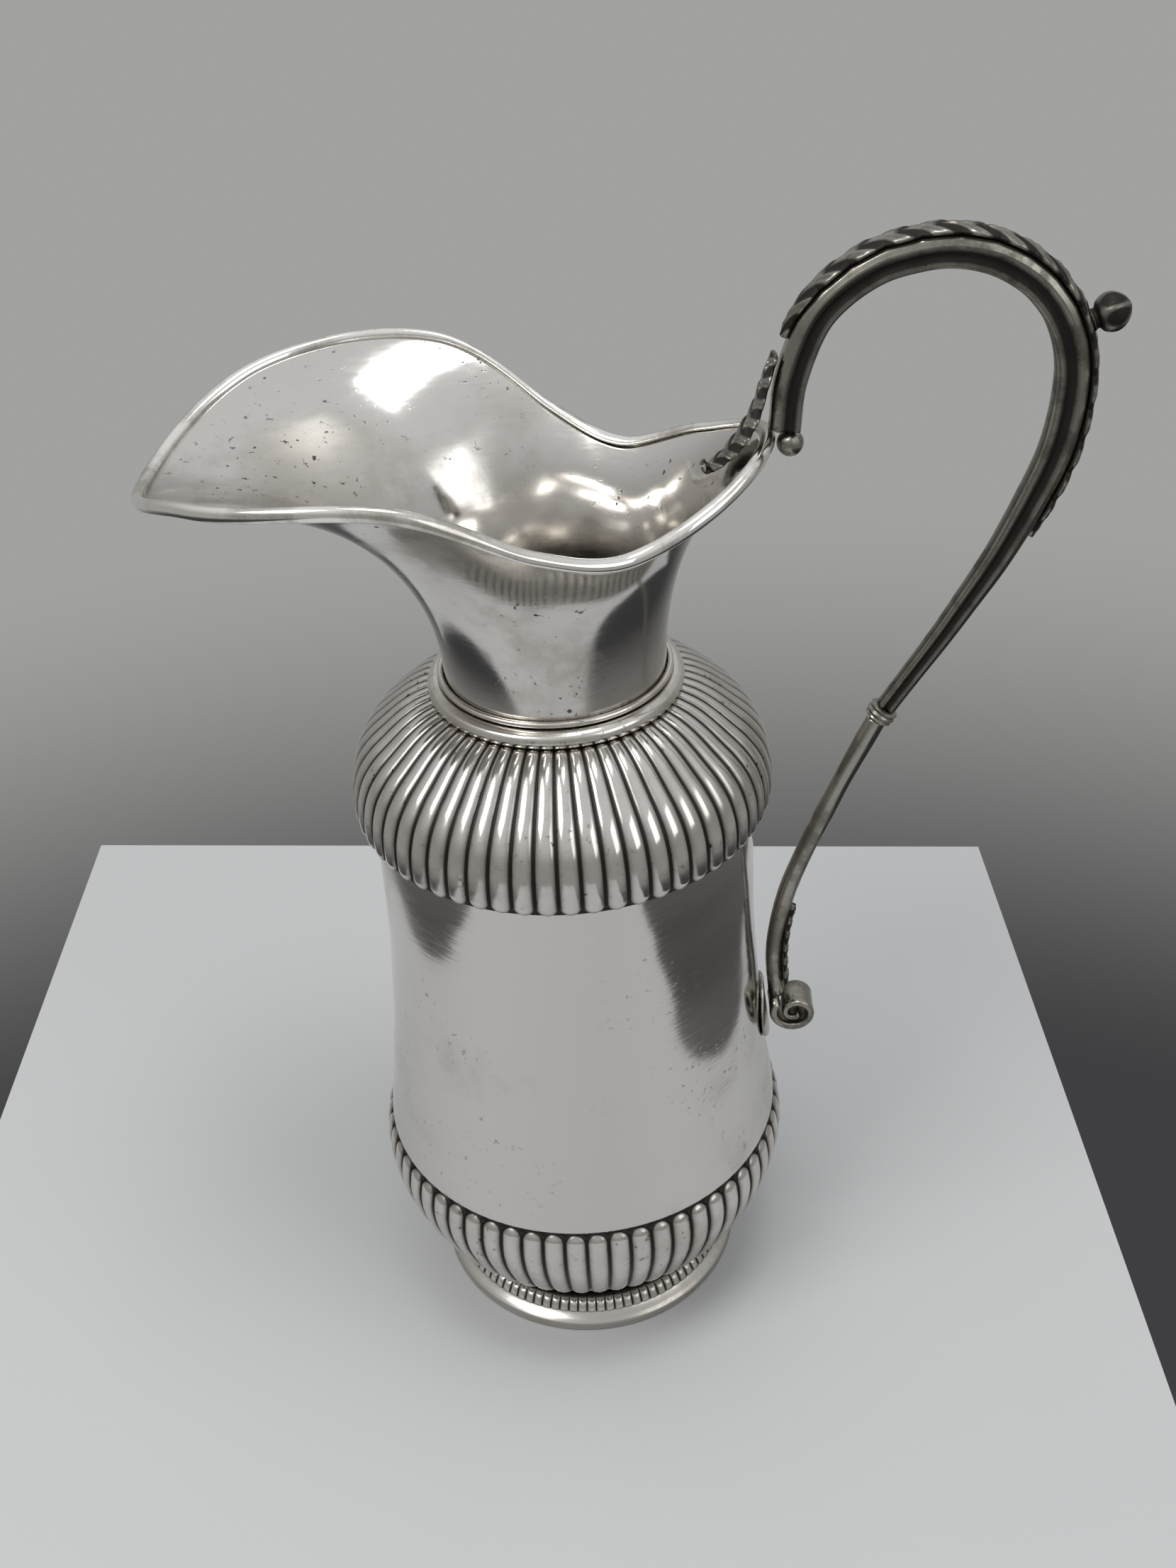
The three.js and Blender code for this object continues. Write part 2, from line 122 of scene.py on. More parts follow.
# Materials are written as expressions: a Socket is a node's output, and sums and products of
# Sockets add the Math nodes that work them out.
class Socket:
    def __init__(self, tree, output):
        self.tree, self.output = tree, output

    def maths(self, operation, first, second):
        return node(self.tree, "Math", {"operation": operation}, {0: first, 1: second})

    def __add__(self, other):
        return self.maths("ADD", self, other)

    def __radd__(self, other):
        return self.maths("ADD", other, self)

    def __sub__(self, other):
        return self.maths("SUBTRACT", self, other)

    def __rsub__(self, other):
        return self.maths("SUBTRACT", other, self)

    def __mul__(self, other):
        return self.maths("MULTIPLY", self, other)

    def __rmul__(self, other):
        return self.maths("MULTIPLY", other, self)

    def clipped(self):
        return node(self.tree, "Clamp", {}, {0: self})


def node(tree, kind, settings, inputs, output=0):
    """Adds a node: its settings first, then its sockets' values or links. Gives one of its outputs."""
    made = tree.nodes.new("ShaderNode" + kind)
    for key, value in settings.items():
        setattr(made, key, value)
    for key, value in inputs.items():
        if isinstance(value, Socket):
            tree.links.new(value.output, made.inputs[key])
        else:
            made.inputs[key].default_value = value
    return Socket(tree, made.outputs[output])


def noise(tree, scale, detail=4.0, roughness=0.55, stretch=(1, 1, 1)):
    """Cloudy numbers from 0 to 1 over the piece; scale counts clouds per metre."""
    place = node(tree, "TexCoord", {}, {}, "Object")
    spread = node(tree, "Mapping", {}, {"Vector": place, "Scale": stretch})
    return node(
        tree, "TexNoise", {},
        {"Vector": spread, "Scale": scale, "Detail": detail, "Roughness": roughness},
    )


def stepped(tree, value, low, high):
    """0 below low, 1 above high and a smooth step between."""
    return node(
        tree, "MapRange", {"interpolation_type": "SMOOTHSTEP"},
        {"Value": value, "From Min": low, "From Max": high},
    )


def blended(tree, share, first, second):
    """A colour between two others, each a Socket or three numbers."""
    first, second = ((*end, 1) if isinstance(end, tuple) else end for end in (first, second))
    return node(tree, "Mix", {"data_type": "RGBA"}, {0: share, 6: first, 7: second}, 2)


BRIGHT = (0.66, 0.64, 0.61)
TARNISH = (0.40, 0.375, 0.33)
# The black of the pits, and of the oxide and painted shade in the recesses.
OXIDE_AND_SHADE = (0.035, 0.031, 0.028)


def silver(name, bright=BRIGHT, worn=TARNISH, gloss=0.16, haze=0.22, cloud=14.0, groove=None, pits=0.5):
    """Silver: bright metal under a warm film of tarnish that comes and goes in clouds, small black
    pits, fine wiped scratches in the gloss, and oxide with painted shade, black, where the groove mark
    says."""
    material = bpy.data.materials.new(name)
    material.use_nodes = True
    tree = material.node_tree
    shader = tree.nodes["Principled BSDF"]
    film = stepped(tree, noise(tree, cloud, 6.0, 0.65), 0.46, 0.64)
    fine = noise(tree, 260.0, 3.0)
    speck = stepped(tree, noise(tree, 520.0, 3.0, 0.6), 0.62, 0.70)
    speck = speck * stepped(tree, noise(tree, 34.0, 3.0), 0.46, 0.60) * pits
    colour = blended(tree, film * 0.75, bright, worn)
    dark = speck
    if groove:
        # The groove mark, raised by a gain, paints shade with oxide into the recesses; the pits' black is
        # real.
        mark = node(tree, "Attribute", {"attribute_name": groove}, {}, "Fac")
        oxide_and_shade = (mark * 2.2 + (fine - 0.5) * 0.3).clipped()
        dark = (oxide_and_shade + speck).clipped()
    colour = blended(tree, dark, colour, OXIDE_AND_SHADE)
    wipe = noise(tree, 180.0, 2.0, 0.5, (1, 1, 7))
    rough = gloss + film * haze + (wipe - 0.5) * 0.10 + dark * 0.35
    height = fine * 0.3 + wipe * 0.3 - speck * 1.0
    bump = node(tree, "Bump", {}, {"Strength": 0.10, "Distance": 0.0002, "Height": height})
    shader.inputs["Metallic"].default_value = 1.0
    for key, socket in (("Base Color", colour), ("Roughness", rough.clipped()), ("Normal", bump)):
        tree.links.new(socket.output, shader.inputs[key])
    return material


plain_silver = silver("polished silver")
foot_silver = silver("foot silver", bright=(0.46, 0.44, 0.41), gloss=0.22, haze=0.2, cloud=40.0)


def finish(piece, material, slot, *nodes):
    """Gives a piece its material and lets it stand for the nodes named. The slot is not used."""
    piece.data.materials.clear()
    piece.data.materials.append(material)
    if nodes:
        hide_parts(*nodes)


finish(foot_ring, foot_silver, "plain_silver", "foot_ring")

# The collet: a waisted tube of spun silver soldered between foot and body, with a half-round wire
# soldered round it. Both are dull and dark, for a polishing cloth hardly reaches them.
collet = turned("collet_turned", [
    smooth([(36.9, 5.2), (36.5, 9.0), (36.2, 11.0), (36.9, 16.7)], 24),
    [(34.1, 16.7), (34.1, 5.2)],
])
finish(collet, foot_silver, "plain_silver", "foot_collet")
fillet = turned("fillet_turned", [[(37.2, 12.3)], arc((38.3, 13.6), 1.5, -70, 70, 14), [(37.2, 14.9)]])
finish(fillet, foot_silver, "plain_silver", "foot_fillet")

# The reed band: a strip of silver stamped with small upright reeds and soldered round the foot.
# Their backs are plain bright silver; oxide and painted shade are black between them, and the band's
# hidden inside is painted black all over.
REEDS = 96
REED_STEPS = 8
REED_DEPTH = 0.7


def across_lobe(turn, count):
    """Where each angle lies in its lobe, of count round the jug: -1 and 1 in the grooves beside the
    lobe, 0 on its back."""
    return 2 * ((turn * count / (2 * np.pi)) % 1) - 1


reed_turn = np.linspace(0, 2 * np.pi, REEDS * REED_STEPS, endpoint=False)
reed_profile = smooth([(41.2, 5.25), (40.9, 6.2), (40.0, 7.6), (38.4, 8.4)], 14)
reed_x = across_lobe(reed_turn, REEDS)
reed_bulge = np.sqrt(np.clip(1 - reed_x**2, 0, 1))
reed_fade = np.sin(np.pi * np.linspace(0.12, 0.9, len(reed_profile)))[:, None]
reed_radius = reed_profile[:, :1] + REED_DEPTH * (reed_bulge - 1) * reed_fade
reed_height = reed_profile[:, 1:] + 0 * reed_turn
reed_back = np.array([(37.2, 8.4), (37.2, 5.25)])
reed_radius = np.concatenate([reed_radius, reed_back[:, :1] + 0 * reed_turn])
reed_height = np.concatenate([reed_height, reed_back[:, 1:] + 0 * reed_turn])
# Oxide and painted shade between the reeds, fading towards the band's edges.
reed_oxide_and_shade = (1 - reed_bulge) ** 1.5 * (0.2 + 0.8 * reed_fade)
reed_dark = np.concatenate([reed_oxide_and_shade, np.ones((len(reed_back), len(reed_turn)))])
reeds = skin(
    "reeds_stamped",
    np.stack([reed_radius * np.cos(reed_turn), reed_radius * np.sin(reed_turn), reed_height], axis=-1),
    {"groove": reed_dark},
)
chased_silver = silver(
    "chased silver", bright=(0.64, 0.62, 0.585), gloss=0.13, haze=0.16, groove="groove",
)
finish(reeds, chased_silver, "chased_silver", "foot_reed_band")

# The lower body: a bowl raised from sheet and chased with upright lobes that end round at the top.
# Silver; oxide and painted shade darken the grooves between the lobes and the hollows over their ends.
LOBES = 60
LOBE_STEPS = 12
LOBE_DEPTH = 1.25
FULL_WIDTH = 2.4  # half the width of a lobe, at which it has its full depth


def lengths(points):
    """How far along the chain of points each one lies."""
    return np.concatenate([[0], np.cumsum(np.linalg.norm(np.diff(points, axis=0), axis=1))])


def chased(name, outer, inner, turn_start, low_end, high_end, depth=LOBE_DEPTH):
    """A lobed shell. Over each lobe x runs from -1 to 1 and the skin stands at
    depth (sqrt(1 - x squared) - 1) from the outer profile. Within half a lobe's width of a round end
    x squared grows by the square of the share of that width still left, so the lobe closes in a
    dome. The groove mark is (1 - dome) to the power 1.6, times 1.25."""
    turn = turn_start + np.linspace(0, 2 * np.pi, LOBES * LOBE_STEPS, endpoint=False)
    x = across_lobe(turn - turn_start, LOBES)
    along = lengths(outer)[:, None]
    width = np.pi * outer[:, :1] / LOBES
    from_low, from_high = along, along[-1] - along
    short = np.zeros_like(along)
    if low_end:
        short = np.maximum(short, np.clip(1 - from_low / width, 0, 1))
    if high_end:
        short = np.maximum(short, np.clip(1 - from_high / width, 0, 1))
    reach = x**2 + short**2
    dome = np.sqrt(np.clip(1 - reach, 0, 1))
    slope = np.gradient(outer, axis=0)
    slope /= np.linalg.norm(slope, axis=1)[:, None]
    sink = depth * np.minimum(1, width / FULL_WIDTH) * (dome - 1)
    radius = np.concatenate([outer[:, :1] + sink * slope[:, 1:], inner[:, :1] + 0 * turn])
    height = np.concatenate([outer[:, 1:] - sink * slope[:, :1], inner[:, 1:] + 0 * turn])
    # The groove mark: oxide and painted shade in the grooves and the hollows over the lobes' ends; the
    # inner skin stays plain.
    dark = np.concatenate([np.clip(1.25 * (1 - dome) ** 1.6, 0, 1), np.zeros((len(inner), len(turn)))])
    grid = np.stack([radius * np.cos(turn), radius * np.sin(turn), height], axis=-1)
    return skin(name, grid, {"groove": dark})


FRONT = -np.pi / 2  # the side that faces the camera
CAMERA_TURN = np.radians(4.0)  # how far the handle is turned towards the camera
lower_outer = smooth([
    (41, 17), (45.6, 20.3), (49.9, 25.5), (53.2, 32), (56, 40), (57, 47), (56.4, 52.5), (55.2, 55.9),
], 90)
lower_inner = np.array([
    (53, 55.6), (54.1, 50), (54.2, 44), (51.4, 34), (47.4, 26.2), (42.6, 20.6), (38.3, 18.4),
    (34.1, 18.4), (34.1, 17),
])
GROOVE_LOW = FRONT + CAMERA_TURN - np.radians(1.7)
lower = chased("lower_body_chased", lower_outer, lower_inner, GROOVE_LOW, False, True)
finish(lower, chased_silver, "chased_silver", "lower_body")

# The base disc: a flat round of silver sheet, soldered in to close the bowl at its foot. It lies
# deep inside the body, so the plain disc is enough.
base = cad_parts["base_disc"]
finish(base, plain_silver, "plain_silver")

# The wall: silver sheet rolled to a gently waisted tube and seamed, plain and polished.
# It is soldered to the bowl below, and its top slips inside the shoulder.
SHEET = 1.4
WALL = [
    (54.9, 56.2), (54.3, 61), (52.9, 70), (51.9, 80), (50.7, 90), (49.9, 100), (48.5, 120), (48.0, 140),
    (47.9, 152), (47.8, 163.4),
]
wall_outer = smooth(WALL, 90)
wall_silver = silver("wall silver", gloss=0.10, haze=0.12, cloud=9.0, pits=0.4)
wall = turned("wall_rolled", [wall_outer, (wall_outer - (SHEET, 0))[::-1]])
finish(wall, wall_silver, "plain_silver", "body_wall")

# The shoulder: a dome raised from sheet and chased with lobes that end round over the wall.
# Silver, bright on the backs of the lobes, with oxide and painted shade black between them.
shoulder_outer = smooth([
    (51.9, 161.4), (52.2, 164.5), (52.2, 168), (51.6, 172.3), (49.8, 177.2), (46.6, 181.6), (42.6, 185.3),
    (38.2, 189), (34.4, 191.4), (31, 192.8),
], 110)
shoulder_inner = np.array([
    (27, 192.8), (27, 191.4), (33, 189.4), (40.5, 183.8), (45.6, 178.4), (48.6, 172.6), (49.6, 168),
    (48.1, 163.7), (48.1, 161.4),
])
GROOVE_HIGH = FRONT + CAMERA_TURN - np.radians(3.06)
shoulder = chased("shoulder_chased", shoulder_outer, shoulder_inner, GROOVE_HIGH, True, False)
finish(shoulder, chased_silver, "chased_silver", "shoulder")

# Collar and fillet: two half-round mouldings of silver wire, bent round the neck and soldered
# over its joint with the shoulder. Tarnish is left beside them.
collar_silver = silver("collar silver", bright=(0.7, 0.67, 0.63), gloss=0.14, haze=0.2, cloud=30.0)
collar = turned("collar_wire", [
    [(27, 192.8)],
    smooth([(29.4, 192.8), (30.4, 193.4), (30.9, 194.7), (30.5, 196.1), (29.3, 197.0)], 24),
    [(27, 197.1)],
])
finish(collar, collar_silver, "plain_silver", "neck_collar")
neck_fillet = turned("neck_fillet_wire", [
    [(27, 197.1)],
    arc((27.5, 197.95), 0.85, -80, 80, 14),
    [(27, 198.7)],
])
finish(neck_fillet, collar_silver, "plain_silver", "neck_fillet")

# Neck and spout: one raised sheet, a round neck that opens into a wide lip and a long spout.
# Silver, polished inside, spotted and scratched outside. Stations stand every 30 degrees from the
# spout to the handle and are the same on both sides.
RIM_WIRE = 1.7
EDGE_SINK = 0.3  # how deep the sheet's edge lies in the wire
LIP_RADIUS = [89, 79, 56, 39.5, 35.5, 42.5, 49.5]
LIP_HEIGHT = [248, 259, 261, 246, 240, 247, 254]
FLARE_ANGLE = [2, 12, 36, 56, 60, 46, 32]
FLARE_LENGTH = [46, 37, 20, 11, 9, 12, 15]
NECK_RADIUS = 26.0
NECK_BOTTOM = 191.6
NECK_START = 198.7  # where the neck leaves its mouldings
NECK_RISE = 26.0
LIP_COLUMNS = 360


def round_the_lip(values, turn):
    """Stations at every 30 degrees joined by Catmull-Rom cubics, closed round the lip. The values
    are given from the spout to the handle and come back the other side."""
    ring = np.array([*values, *values[-2:0:-1]], float)
    place = (turn / (2 * np.pi) * len(ring)) % len(ring)
    span = place.astype(int)
    return catmull_rom(*(ring[(span + k) % len(ring)] for k in (-1, 0, 1, 2)), place - span)


lip_turn = np.linspace(0, 2 * np.pi, LIP_COLUMNS, endpoint=False)
lip_radius = round_the_lip(LIP_RADIUS, lip_turn)
lip_height = round_the_lip(LIP_HEIGHT, lip_turn)


def neck_sheet(rows):
    """The middle of the sheet in each upright plane: a cubic Bezier curve that leaves the neck
    upright and reaches the lip along the flare's slope. Gives points and unit tangents."""
    slope = np.radians(round_the_lip(FLARE_ANGLE, lip_turn))
    pull = round_the_lip(FLARE_LENGTH, lip_turn)
    out = np.stack([np.cos(slope), np.sin(slope)], axis=-1)
    lip = np.stack([lip_radius, lip_height], axis=-1)
    end = lip - (RIM_WIRE - EDGE_SINK) * out
    start = np.stack([NECK_RADIUS + 0 * slope, NECK_START + 0 * slope], axis=-1)
    rise = start + (0, NECK_RISE)
    back = end - pull[:, None] * out
    t = np.linspace(0, 1, rows)[:, None, None]
    place = (1 - t) ** 3 * start + 3 * (1 - t) ** 2 * t * rise + 3 * (1 - t) * t**2 * back + t**3 * end
    along = 3 * (1 - t) ** 2 * (rise - start) + 6 * (1 - t) * t * (back - rise) + 3 * t**2 * (end - back)
    return place, along / np.linalg.norm(along, axis=-1, keepdims=True)


def upright(radius, height, turn):
    """Points from radius and height at each angle, counted from the spout at -x."""
    return np.stack([-radius * np.cos(turn), -radius * np.sin(turn), height], axis=-1)


neck_middle, neck_along = neck_sheet(70)
neck_side = np.stack([neck_along[..., 1], -neck_along[..., 0]], axis=-1)
neck_out, neck_in = neck_middle + SHEET / 2 * neck_side, neck_middle - SHEET / 2 * neck_side
neck_foot = np.array([[NECK_RADIUS + SHEET / 2, NECK_BOTTOM], [NECK_RADIUS - SHEET / 2, NECK_BOTTOM]])
neck_foot = neck_foot[:, None, :] + np.zeros((1, LIP_COLUMNS, 2))
neck_rows = np.concatenate([neck_foot[:1], neck_out, neck_in[::-1], neck_foot[1:]])
neck_silver = silver("neck silver", gloss=0.12, haze=0.2, cloud=18.0, pits=0.9)
neck = skin("neck_raised", upright(neck_rows[..., 0], neck_rows[..., 1], lip_turn))
finish(neck, neck_silver, "plain_silver", "neck_and_spout")

# The rim: a round silver wire bent along the lip and soldered over the edge of the sheet, which
# stiffens it. Hands and cloths keep it the brightest part of the jug.
wire_turn = np.linspace(0, 2 * np.pi, 24, endpoint=False)[:, None]
rim_silver = silver("rim silver", bright=(0.86, 0.84, 0.8), gloss=0.10, haze=0.12, cloud=50.0, pits=0.2)
rim = skin("rim_bent", upright(
    lip_radius + RIM_WIRE * np.cos(wire_turn), lip_height + RIM_WIRE * np.sin(wire_turn), lip_turn,
))
finish(rim, rim_silver, "plain_silver", "rim_wire")

# The upper handle: one casting, a bowed bar with a channel down each flank and another down its
# inner face. Silver under a black patina, with oxide and painted shade darker in the channels than
# on the raised parts. Its root stands on the rim wire and its end takes the lower bar.
HANDLE_DEPTH = 7.0
HANDLE_WIDTH = 8.6
LOW_SHARE = 0.62  # thickness at the low end, as a share of that at the root
TAPER_FROM = 0.55  # share of the length at which it starts to get thinner
LIP_END = np.array([LIP_RADIUS[-1], LIP_HEIGHT[-1]], float)
HANDLE_LINE = [
    (LIP_END[0] + HANDLE_DEPTH / 2 + 0.2, LIP_END[1] + RIM_WIRE + GAP), (54.2, 266.5), (58.2, 278.4),
    (63.6, 285.2), (71.4, 290.4), (79.6, 292.7), (86.4, 293.2), (93.3, 292), (99.2, 289.4),
    (104.8, 285.2), (110, 278.4), (113.2, 269.8), (113.8, 260), (112.2, 248.2), (108.3, 236.8),
    (102.4, 223), (96, 211), (91, 202), (85, 192), (79.6, 183),
]


def directions(place):
    """The unit tangent of a curve at each of its points."""
    along = np.gradient(place, axis=0)
    return along / np.linalg.norm(along, axis=1)[:, None]


def evenly(points, count, start=0.0, stop=1.0):
    """Points and unit tangents at equal steps of length along a smooth curve through the points."""
    fine = smooth(points, 1200)
    length = lengths(fine)
    want = length[-1] * np.linspace(start, stop, count)
    place = np.stack([np.interp(want, length, fine[:, k]) for k in (0, 1)], axis=1)
    return place, directions(place)


def carried(name, place, along, across, inward, marks=None):
    """A closed bar in the plane of the handle. At each step of a curve a ring of points lies across
    the plane by across, and by inward along the normal that points inside the loop."""
    rows, columns = across.shape
    normal = np.stack([along[:, 1], -along[:, 0]], axis=1)
    spot = place[:, None, :] + inward[..., None] * normal[:, None, :]
    grid = np.stack([spot[..., 0], across, spot[..., 1]], axis=-1).reshape(-1, 3)
    row, column = np.meshgrid(np.arange(rows - 1), np.arange(columns), indexing="ij")
    start, after = row * columns, (row + 1) * columns
    beside = (column + 1) % columns
    sides = np.stack([start + column, start + beside, after + beside, after + column], axis=-1)
    faces = sides.reshape(-1, 4).tolist()
    faces.append(list(range(columns))[::-1])
    faces.append(list(range((rows - 1) * columns, rows * columns)))
    return mesh_piece(name, (grid + (AXIS_X, 0, 0)) * MM, faces, marks)


def hump(x, centre, width):
    """A smooth hump exp(-((x - centre) / width) squared)."""
    return np.exp(-(((x - centre) / width) ** 2))


def handle_taper(share):
    """1 as far as TAPER_FROM and then a smooth step down to LOW_SHARE at the end."""
    low = np.clip((share - TAPER_FROM) / (1 - TAPER_FROM), 0, 1)
    return 1 - (1 - LOW_SHARE) * (3 * low**2 - 2 * low**3)


# The section is a round-cornered square: cos and sin over the fourth root of their fourth powers'
# sum. flank is -1 on the back and 1 on the inner face, and wide is -1 and 1 at the two sides.
SECTION = np.linspace(0, 2 * np.pi, 64, endpoint=False)
corner_reach = (np.abs(np.sin(SECTION)) ** 4 + np.abs(np.cos(SECTION)) ** 4) ** -0.25
flank = np.cos(SECTION) * corner_reach
wide = np.sin(SECTION) * corner_reach
on_inner_face = flank > 0.5
back_bead = 0.10 * hump(flank, -0.42, 0.13)
inner_bead = 0.10 * hump(flank, 0.85, 0.2)
side_channel = 0.2 * hump(flank, 0.2, 0.32)
inner_channel = 0.2 * hump(wide, 0, 0.3) * on_inner_face
cast_place, cast_along = evenly(HANDLE_LINE, 420)
cast_taper = handle_taper(np.linspace(0, 1, len(cast_place)))[:, None]
cast_width = 0.93 * HANDLE_WIDTH * (0.88 + back_bead + inner_bead - side_channel)
# Oxide and painted shade in the channels down the flanks and the inner face.
side_oxide_and_shade = 0.75 * hump(flank, 0.2, 0.4) * (np.abs(wide) > 0.6)
inner_oxide_and_shade = 0.35 * hump(wide, 0, 0.25) * on_inner_face
casting = carried(
    "handle_cast", cast_place, cast_along,
    across=cast_taper * cast_width / 2 * wide,
    inward=cast_taper * HANDLE_DEPTH / 2 * flank * (1 - inner_channel),
    marks={"groove": np.clip(side_oxide_and_shade + inner_oxide_and_shade, 0, 1) + 0 * cast_taper},
)
cast_silver = silver(
    "cast silver", bright=(0.30, 0.285, 0.25), worn=(0.11, 0.10, 0.085), gloss=0.22, haze=0.2,
    cloud=120.0, groove="groove", pits=0.3,
)
finish(casting, cast_silver, "cast_silver", "handle_casting")

# The leaf on the back of the handle: running acanthus of cast silver, soldered on and chased, its
# fronds lapping one over the next with notched edges. Oxide and painted shade are black in the hollows,
# bright on the fronds.
LEAF_THICKNESS = 1.5
LEAF_SINK = 0.3  # how much thicker it is than its stand over the handle
LEAF_FROM, LEAF_TO = 0.1, 0.72  # shares of the handle's length
LEAF_FRONDS = 17
LEAF_STEPS = 700
FROND_LEAN = 0.55  # how far a frond lags at its edge, in fronds
NOTCH = 0.26  # depth of the notches, as a share of the breadth
VEINS = 3  # veins on each frond


def beside_line(points, lift, start, stop, count):
    """A stretch of a curve moved out from the loop by lift, one number or one for each point."""
    place, along = evenly(points, count, start, stop)
    out = np.stack([-along[:, 1], along[:, 0]], axis=1)
    place = place + np.broadcast_to(lift, count)[:, None] * out
    return place, directions(place)


def acanthus(name, place, along, breadth, thick, fronds, relief=0.5):
    """A leaf carried along a curve, with an oval section. A frond's phase grows by 1 from one frond
    to the next and lags towards the leaf's edge. The edge is notched by the root of |sin| of the
    phase, the back is combed by |sin| of it and veined by its cosine, and a midrib runs between."""
    share = np.linspace(0, 1, len(place))[:, None]
    side = np.sin(SECTION) + 0 * share
    face = np.cos(SECTION) + 0 * share
    phase = fronds * share - FROND_LEAN * np.abs(side)
    notched = np.abs(np.sin(np.pi * (fronds * share - FROND_LEAN))) ** 0.55
    comb = np.abs(np.sin(np.pi * phase)) ** 0.7
    vein = 0.5 + 0.5 * np.cos(2 * VEINS * np.pi * phase)
    midrib = hump(side, 0, 0.16)
    on_back = np.clip(-2 * face, 0, 1)
    raised = relief * ((comb - 0.6) + 0.25 * (vein - 0.5) + 0.7 * midrib) * on_back
    # Oxide and painted shade in the hollows between the fronds and off the midrib, on the back and sides.
    oxide_and_shade = np.clip(1.1 - 1.2 * comb - 0.5 * midrib + 0.25 * (1 - vein), 0, 1) * (face < 0.4)
    return carried(
        name, place, along,
        across=breadth * (1 - NOTCH + NOTCH * notched) * side,
        inward=thick / 2 * face - raised,
        marks={"groove": oxide_and_shade},
    )


leaf_taper = handle_taper(np.linspace(LEAF_FROM, LEAF_TO, LEAF_STEPS))
leaf_place, leaf_along = beside_line(
    HANDLE_LINE, HANDLE_DEPTH / 2 * leaf_taper + LEAF_THICKNESS / 2, LEAF_FROM, LEAF_TO, LEAF_STEPS,
)
leaf_run = np.linspace(0, 1, LEAF_STEPS)[:, None]
leaf_ends = np.minimum(1, 10 * np.minimum(leaf_run, 1 - leaf_run) + 0.25)
back_leaf = acanthus(
    "back_leaf_cast", leaf_place, leaf_along,
    breadth=0.9 * HANDLE_WIDTH / 2 * leaf_taper[:, None] * leaf_ends,
    thick=LEAF_THICKNESS + LEAF_SINK, fronds=LEAF_FRONDS,
)
finish(back_leaf, cast_silver, "cast_silver", "handle_leaf")

# The leaf that laps over the lip: cast silver like the other, soldered to the handle's root. It
# rises from the mouth, where its tip curls, to the handle's back.
RIM_LEAF_STEPS = 260
rim_leaf_line = LIP_END + np.array([
    (-14.2, -6.0), (-13.2, -7.4), (-11, -6.0), (-8, -3.2), (-4.6, 1.4), (-2.4, 6), (-1.0, 11), (1.2, 18),
])
rim_place, rim_along = evenly(rim_leaf_line, RIM_LEAF_STEPS)
rim_run = np.linspace(0, 1, RIM_LEAF_STEPS)[:, None]
rim_leaf = acanthus(
    "rim_leaf_cast", rim_place, rim_along,
    breadth=1.0 + 5.6 * np.sin(np.pi * np.clip(0.06 + rim_run * 0.8, 0, 1)) ** 1.1,
    thick=LEAF_THICKNESS, fronds=7, relief=0.45,
)
finish(rim_leaf, cast_silver, "cast_silver", "rim_leaf")

# The boss: a small ball of cast silver, faintly eight-sided, under the handle's root outside the
# lip. It is soldered to root and rim wire and covers the joint.
BOSS_RADIUS = 3.0
BOSS_DROP = 1.8  # from the lip's middle down to the boss's
POLE = 0.04  # angle left open at each pole, closed by a flat face


def round_bar(name, place, along, radius, marks=None):
    """A bar of round section carried along a line; radius holds a number for each step, or for each
    point of each step."""
    return carried(name, place, along, radius * np.sin(SECTION), radius * np.cos(SECTION), marks)


boss_angle = np.linspace(POLE, np.pi - POLE, 40)
boss_middle = LIP_END + (RIM_WIRE + GAP + BOSS_RADIUS, -BOSS_DROP)
boss_up = np.stack([0 * boss_angle, 1 + 0 * boss_angle], axis=1)
boss = round_bar(
    "boss_cast", boss_middle - BOSS_RADIUS * np.cos(boss_angle)[:, None] * boss_up, boss_up,
    BOSS_RADIUS * np.sin(boss_angle)[:, None] * (1 - 0.03 * np.abs(np.sin(4 * SECTION))),
)
finish(boss, cast_silver, "cast_silver", "handle_socket")

# The thumb knop: a bud of six petals on a short stem, cast in silver and riveted through the back
# leaf. Oxide and painted shade are black between the petals and round the stem, where it meets the leaf.
KNOP_AT = 0.47  # share of the handle's length
KNOP_PROFILE = [
    (2.5, 0), (2.2, 0.9), (3.4, 1.8), (4.4, 3.9), (4.0, 5.7), (2.4, 7.4), (0.7, 8.2), (0.1, 8.25),
]
knop_root, knop_line = evenly(HANDLE_LINE, 3, KNOP_AT - 0.002, KNOP_AT + 0.002)
knop_out = np.array([-knop_line[1, 1], knop_line[1, 0]])
knop_base = HANDLE_DEPTH / 2 * 1.01 + GAP + LEAF_THICKNESS
knop_radius, knop_height = np.split(smooth(KNOP_PROFILE, 60), 2, axis=1)
petal_groove = 0.06 * np.abs(np.sin(3 * SECTION)) * hump(knop_height, 5.0, 2.6)
knop_place = knop_root[1] + (knop_base + knop_height) * knop_out
# Oxide and painted shade in the petal grooves and round the stem's foot.
knop_oxide_and_shade = np.clip(18 * petal_groove, 0, 0.8) + 0.7 * hump(knop_height, 0.9, 0.8)
knop = round_bar(
    "knop_cast", knop_place, knop_out + 0 * knop_place, knop_radius * (1 - petal_groove),
    {"groove": np.clip(knop_oxide_and_shade, 0, 1)},
)
finish(knop, cast_silver, "cast_silver", "thumb_knop")

